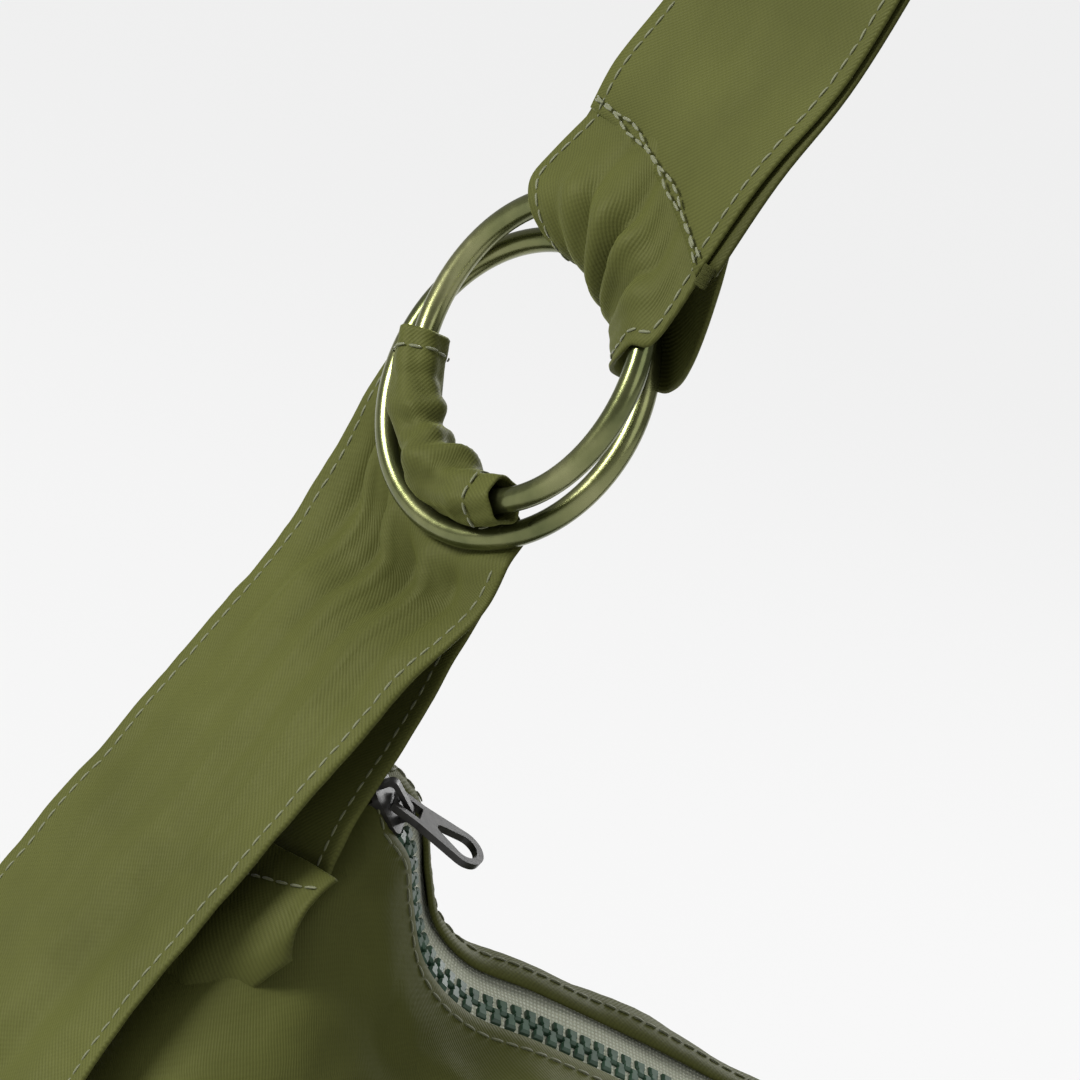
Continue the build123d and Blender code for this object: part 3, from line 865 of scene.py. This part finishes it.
def teeth():
    line = zip_line(900)
    along, back, face = zip_frames(line)
    lengths = run_lengths(line)
    shape, shape_faces = tooth_shape(1.95 * MM, 3.5 * MM, 2.3 * MM)
    for name, side, offset in (("front", -1, 0.0), ("back", 1, 0.5)):
        vertices, faces, uvs = [], [], []
        for place in np.arange(5.0 * MM + offset * TOOTH_PITCH, lengths[-1] - 5.0 * MM, TOOTH_PITCH):
            centre, t, b, f = (at_lengths(place, lengths, part) for part in (line, along, back, face))
            middle = centre + b * side * 1.25 * MM - f * 1.5 * MM
            start = len(vertices)
            vertices.extend(middle + t * x - b * side * y + f * z for x, y, z in shape)
            uvs.extend((x, y) for x, y, _ in shape)
            faces.extend(tuple(start + k for k in quad) for quad in shape_faces)
        piece = add_piece(f"zip_teeth_{name}_moulded", vertices, faces, uvs, TEETH, smooth=False)
        stops = ["zip_top_stops"] if name == "front" else ["zip_bottom_stop"]
        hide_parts(f"zip_teeth_{name}", *stops)
        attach(piece, "bag")


# ---- body --------------------------------------------------------------------------------
# The CAD's body sections in mm (half lengths, half depths), but up to 7 mm longer at each shoulder,
# so that cloth lies under the base bands, and drawn in to a ridge at the bottom.
BODY_HEIGHTS = (-306.0, -314.0, -328.0, -345.0, -365.0, -385.0, -410.0, -450.0, -500.0, -530.0, -545.0)
BODY_LENGTHS = (112.0, 123.0, 134.0, 145.0, 155.0, 163.0, 170.0, 174.0, 166.0, 146.0, 112.0)
BODY_DEPTHS = (10.0, 14.5, 19.0, 22.0, 28.0, 37.0, 46.0, 51.0, 46.0, 33.0, 6.0)
BODY_SHIFTS = (0.0, 0.0, 0.0, -4.0, -8.0, -6.0, -2.0, 0.0, 0.0, 0.0, 0.0)


def body_profile(height, values):
    return np.interp(-height, [-h for h in BODY_HEIGHTS], values)


def body_section(height, share, side):
    """A point on the body's outer face at a height, share running from seam (-1) to seam (1)."""
    length, depth = body_profile(height, BODY_LENGTHS), body_profile(height, BODY_DEPTHS)
    shift = body_profile(height, BODY_SHIFTS)
    radius = 0.94 * depth
    straight, bend = length - radius, radius * pi / 2
    run = abs(share) * (straight + bend)
    x, y = run, depth
    if run > straight:
        turn = (run - straight) / radius
        x, y = straight + radius * sin(turn), depth - radius + radius * cos(turn)
        y = y * (1 - 0.06 * (run - straight) / bend)
    if abs(share) == 1:
        y = 0.0
    return vec([x if share > 0 else -x, shift + side * y, height])


def smooth(value):
    value = np.clip(value, 0, 1)
    return value * value * (3 - 2 * value)


def panel_grid(front, rows=84, columns=151):
    """From the zip's edge over the shoulder, out over the belly and down to the bottom seam."""
    side = -1 if front else 1
    edge_across = -4.9 if front else 8.0
    line = zip_line(columns)
    _, back, face = zip_frames(line)
    ends = np.linspace(0, 1, columns)
    taper = np.clip(np.minimum(ends, 1 - ends) / 0.04, 0.15, 1)
    top = (line + back * (edge_across * taper)[:, None] * MM - face * 0.2 * MM) / MM
    grid = np.zeros((rows, columns, 3))
    for j, u in enumerate(np.linspace(-1, 1, columns)):
        z_top = top[j, 2]
        z_low = -545.0 + 34.0 * abs(u) ** 5
        for i, v in enumerate(np.linspace(0, 1, rows)):
            z = z_top + (z_low - z_top) * (v**1.15)
            point = body_section(z, u, side)
            closing = smooth((v - 0.90) / 0.10)
            point[1] *= 1 - closing
            near = smooth(v / (0.26 if front else 0.16))
            away = 34.0 * v / (0.26 if front else 0.16)
            beside = top[j] + back[j] * side * away * taper[j] - vec([0, 0, 1]) * away**2 * 0.012
            grid[i, j] = beside * (1 - near) + point * near
    return grid * MM


def relax(grid, pins, frames=24, seed=1):
    """Cloth cut a little large that settles between its pinned edges; it moves 6 mm at the most."""
    rows, columns = grid.shape[:2]
    faces = [(i * columns + j, i * columns + j + 1, (i + 1) * columns + j + 1, (i + 1) * columns + j)
             for i in range(rows - 1) for j in range(columns - 1)]
    mesh = bpy.data.meshes.new("slack")
    start = swell(grid, crumple(grid, 0.03, 1.2 * MM, seed))
    mesh.from_pydata([tuple(p) for p in start.reshape(-1, 3)], [], faces)
    slack = bpy.data.objects.new("slack", mesh)
    bpy.context.scene.collection.objects.link(slack)
    group = slack.vertex_groups.new(name="pins")
    for index, weight in enumerate(pins.reshape(-1)):
        if weight > 0:
            group.add([index], float(weight), "REPLACE")
    modifier = slack.modifiers.new("cloth", "CLOTH")
    settings = modifier.settings
    settings.quality = 6
    settings.mass = 0.15
    settings.tension_stiffness = 22
    settings.compression_stiffness = 22
    settings.shear_stiffness = 6
    settings.bending_stiffness = 0.12
    settings.shrink_min = -0.045
    settings.vertex_group_mass = "pins"
    settings.effector_weights.gravity = 0.35
    settings.use_pressure = False
    modifier.point_cache.frame_start = 1
    modifier.point_cache.frame_end = frames
    scene = bpy.context.scene
    for number in range(1, frames + 1):
        scene.frame_set(number)
    evaluated = slack.evaluated_get(bpy.context.evaluated_depsgraph_get())
    settled = np.zeros(len(mesh.vertices) * 3)
    evaluated.data.vertices.foreach_get("co", settled)
    settled = settled.reshape(grid.shape)
    bpy.data.objects.remove(slack)
    bpy.data.meshes.remove(mesh)
    scene.frame_set(1)
    move = settled - grid
    size = np.linalg.norm(move, axis=2, keepdims=True)
    v = np.linspace(0, 1, rows)[:, None, None]
    u = np.linspace(-1, 1, columns)[None, :, None]
    hold = smooth((v - 0.02) / 0.14) * smooth((1 - np.abs(u)) / 0.22)
    return grid + move * np.minimum(1, 6.0 * MM / (size + 1e-9)) * hold


def panels():
    for front in (True, False):
        name = "front" if front else "back"
        grid = panel_grid(front)
        rows, columns = grid.shape[:2]
        pins = np.zeros((rows, columns))
        pins[:8] = np.linspace(1, 0.3, 8)[:, None]
        pins[-1] = 1
        pins[:, 0] = pins[:, -1] = 1
        grid = relax(grid, pins, seed=61 if front else 67)
        v = np.linspace(0, 1, rows)[:, None]
        u = np.linspace(-1, 1, columns)[None, :]
        inside = np.clip(v / 0.08, 0, 1) * np.clip((1 - v) / 0.08, 0, 1) * (1 - u**12)
        folds = 4.0 * np.sin((u + 1) * 9 + v * 6 + 1.0) * np.exp(-(u + 1) / 0.32)
        folds += 2.4 * np.sin((1 - u) * 10 + v * 5) * np.exp(-(1 - u) / 0.3)
        folds += 2.2 * np.sin(u * 15 + 5 * v) * bell(v, 0.30, 0.25)
        outward = -1 if front else 1
        creases = crumple(grid, 0.034, 3.2 * MM, 71 + front)
        grid = swell(grid, (folds * inside * MM + creases * inside) * outward)
        piece = cloth(f"{name}_panel_cloth", grid, 0.9 * MM, TWILL_BODY)
        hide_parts(f"{name}_panel")
        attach(piece, "bag")
        inner = swell(grid[2:-3, 3:-3], np.full(grid[2:-3, 3:-3].shape[:2], -1.9 * MM * outward))
        lining = cloth(f"{name}_lining_cloth", inner, 0.4 * MM, LINING)
        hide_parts(f"lining_{name}")
        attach(lining, "bag")
        normals = grid_normals(grid) * outward
        line = grid[1, 2:-2] * 0.35 + grid[2, 2:-2] * 0.65 + normals[2, 2:-2] * 0.45 * MM
        sewn = stitches(f"{name}_panel_stitching", [(line, normals[2, 2:-2])], THREAD, 81)
        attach(sewn, "bag")


def base_bands():
    """Folded bands that join the strap to the bag's shoulders."""
    for name in ("left", "right"):
        low, high = (vec(corner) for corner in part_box(f"strap_base_{name}"))
        middle = (low + high) / 2
        side = -1 if name == "left" else 1
        turn = FOOT_TURN if name == "left" else 0.0
        across = vec([sin(turn), -cos(turn), 0])
        away = np.cross(vec([0, 0, side]), across)
        slope = radians(53)
        down = away * cos(slope) - vec([0, 0, sin(slope)])
        out = unit(np.cross(across, down)) * side
        rows, columns = 35, 49
        reaches = (34.0, 34.0, 33.0, 33.0, 30.0, 21.0, 12.0)
        grid = np.zeros((rows, columns, 3))
        for j, u in enumerate(np.linspace(-1, 1, columns)):
            reach = np.interp(u, (-1, -0.6, -0.2, 0.2, 0.45, 0.75, 1), reaches) + 0.8 * sin(u * 11)
            place = middle + across * u * 26.5 * MM - down * 4.5 * MM
            for i, s in enumerate(np.linspace(0, 1, rows)):
                tilt = slope + radians(20) * s
                run = away * cos(tilt) - vec([0, 0, sin(tilt)])
                if i:
                    place = place + run * (4.5 + reach) / (rows - 1) * MM
                bulge = 1.2 + 1.8 * sin(pi * s) ** 0.8 + 0.9 * sin(u * 12 + s * 2.5) * s - 2.2 * s**4
                grid[i, j] = place + out * bulge * MM
        grid = swell(grid, crumple(grid, 0.012, 0.5 * MM, 91))
        piece = cloth(f"strap_base_{name}_band", grid, 1.1 * MM, TWILL_BODY)
        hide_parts(f"strap_base_{name}")
        seam = (grid[7, 1:-1] + out * 0.6 * MM, np.tile(out, (columns - 2, 1)))
        sewn = stitches(f"strap_base_{name}_stitching", [seam], THREAD, 95)
        for item in (piece, sewn):
            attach(item, "bag")


def carried_over():
    """CAD nodes that keep their shape and get their real finish."""
    finishes = {
        "ring_front": BRASS, "ring_back": BRASS, "slip_pocket": LINING,
        "zip_slider": BLACK, "zip_slider_bridge": BLACK, "zip_puller": BLACK,
    }
    for node, material in finishes.items():
        mesh = frame["nodes"][node].data
        mesh.materials.clear()
        mesh.materials.append(material)


# ---- camera, floor and light -------------------------------------------------------------
CAMERA_DISTANCE = 1.3
SENSOR_WIDTH = 36
VIEW_WIDTH = 184.0 * MM
FLOOR_REACH = 9.0


def camera():
    """Close on the rings, as in the photograph: a little left of front, above, and rolled."""
    azimuth, elevation, roll = radians(20.0), radians(13.0), radians(15.5)
    level = vec([cos(azimuth), -sin(azimuth), 0])
    rise = vec([sin(azimuth) * sin(elevation), cos(azimuth) * sin(elevation), cos(elevation)])
    toward = vec([-sin(azimuth) * cos(elevation), -cos(azimuth) * cos(elevation), sin(elevation)])
    right = level * cos(roll) + rise * sin(roll)
    up = rise * cos(roll) - level * sin(roll)
    centre = RING + (right * 1.70 - up * 32.54) * MM
    place = centre + toward * CAMERA_DISTANCE
    data = bpy.data.cameras.new("camera")
    data.sensor_width = SENSOR_WIDTH
    data.lens = SENSOR_WIDTH * CAMERA_DISTANCE / VIEW_WIDTH
    data.clip_end = 50
    item = bpy.data.objects.new("camera", data)
    item.matrix_world = Matrix([
        (right[0], up[0], toward[0], place[0]), (right[1], up[1], toward[1], place[1]),
        (right[2], up[2], toward[2], place[2]), (0, 0, 0, 1),
    ])
    bpy.context.scene.collection.objects.link(item)
    bpy.context.scene.camera = item
    return centre, right, up, toward


def stage():
    """A plain pale floor below the bag."""
    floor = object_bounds()[0][2] - 30 * MM
    corners = ((-1, -1), (1, -1), (1, 1), (-1, 1))
    vertices = [(x * FLOOR_REACH, y * FLOOR_REACH, floor) for x, y in corners]
    faces = [(0, 1, 2, 3)]
    shader = Shader("pale_floor")
    colour = shader.ramp(shader.noise(1.5, 2.0), ((0.3, (0.06, 0.06, 0.06)), (0.7, (0.065, 0.065, 0.065))))
    material = shader.finish(
        Base_Color=colour, Roughness=0.9, Specular_IOR_Level=0.1,
        Emission_Color=(1, 1, 1, 1), Emission_Strength=0.83,
    )
    item = add_piece("floor", vertices, faces, [(0, 0)] * len(vertices), material)
    item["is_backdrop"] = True


def light(name, place, target, size, power, colour=(1, 1, 1)):
    data = bpy.data.lights.new(name, "AREA")
    data.shape = "DISK"
    data.size = size
    data.energy = power
    data.color = colour
    item = bpy.data.objects.new(name, data)
    item.location = Vector(place)
    item.rotation_euler = (Vector(target) - Vector(place)).to_track_quat("-Z", "Y").to_euler()
    bpy.context.scene.collection.objects.link(item)


def lights(centre, right, up, toward):
    light("key", centre - right * 1.1 + up * 1.0 + toward * 0.8, centre, 0.7, 46)
    light("fill", centre + right * 1.2 + up * 0.1 + toward * 1.6, centre, 1.4, 9)
    light("top", centre + vec([0, 0, 1.6]), centre, 1.2, 16)
    light("rim", centre + right * 0.8 - toward * 1.1 + up * 0.6, centre, 0.8, 10)
    world = bpy.data.worlds.new("studio")
    world.use_nodes = True
    world.node_tree.nodes["Background"].inputs["Color"].default_value = (0.93, 0.93, 0.93, 1)
    world.node_tree.nodes["Background"].inputs["Strength"].default_value = 0.30
    bpy.context.scene.world = world
    bpy.context.scene.view_settings.view_transform = "Standard"


upper_strap()
loop()
bartack()
ring_wrap()
lower_strap()
tail()
tapes()
teeth()
panels()
base_bands()
carried_over()
view = camera()
stage()
lights(*view)
